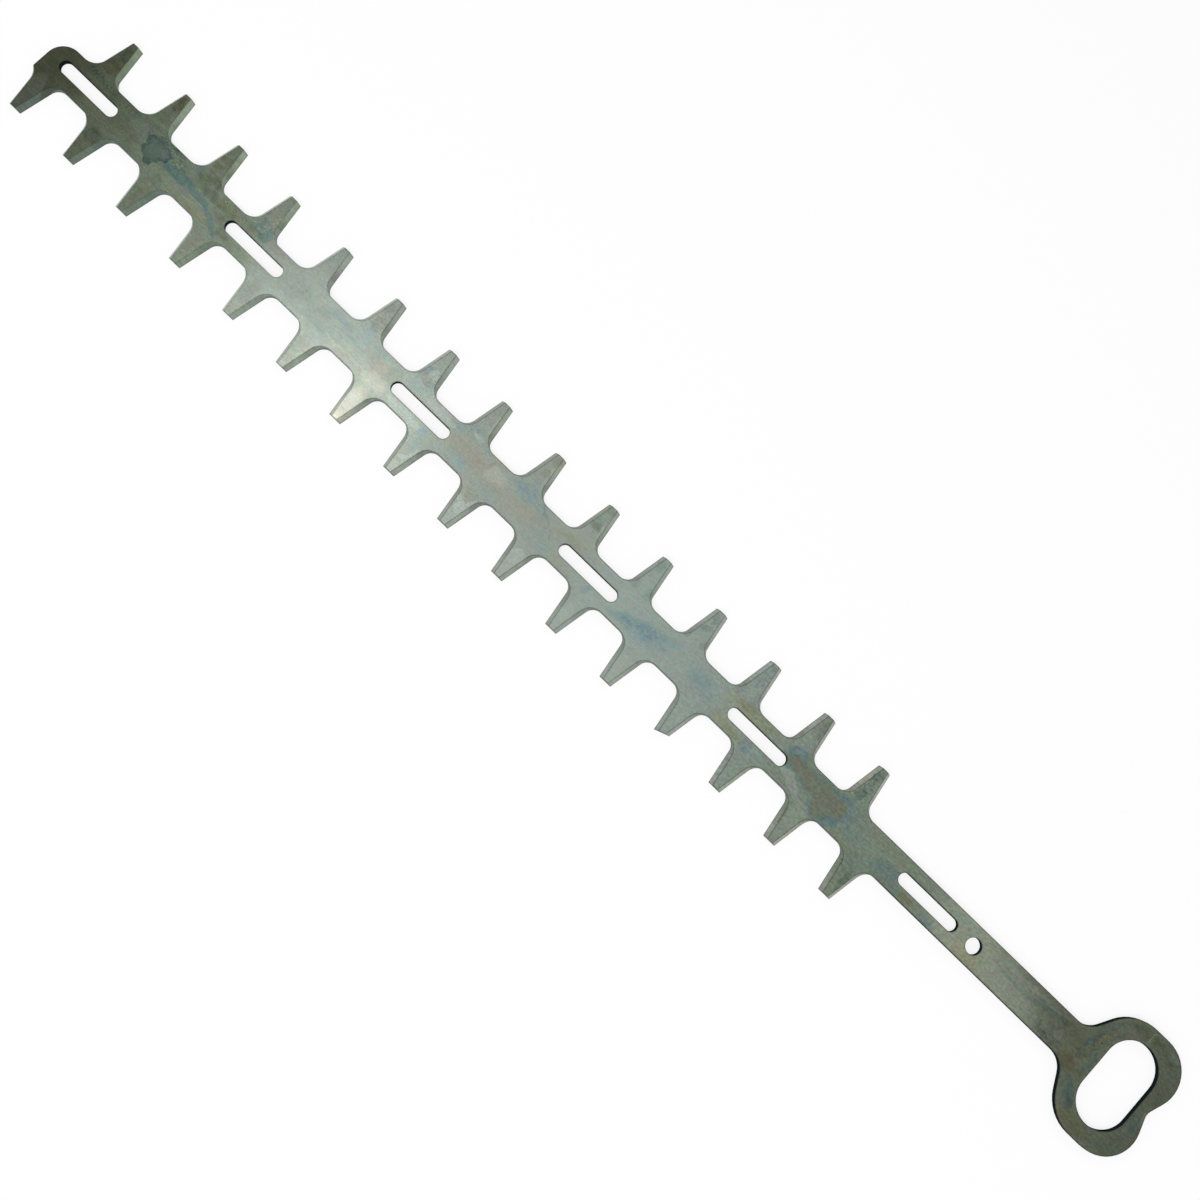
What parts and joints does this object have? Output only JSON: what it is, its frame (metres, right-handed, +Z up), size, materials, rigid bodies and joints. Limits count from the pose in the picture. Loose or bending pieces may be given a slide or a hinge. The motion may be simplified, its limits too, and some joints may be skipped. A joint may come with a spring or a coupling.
{
  "type": "hedge trimmer blade",
  "caption": "Flat ground steel hedge trimmer blade with staggered bevelled teeth on both edges, guide slots along its bar and an oval drive eye in a lobed end.",
  "frame": {"origin": "centre of the drive eye, on the underside", "axes": "+X along the blade to its nose, +Y to the edge with one tooth more, +Z up out of the bevelled face"},
  "size_m": [0.7126, 0.0632, 0.003],
  "materials": {
    "blade_steel": "ground steel, dulled and tinted blue and brown by heat and oxide"
  },
  "bodies": {
    "root": {"blade": "blade_steel"}
  },
  "joints": []
}
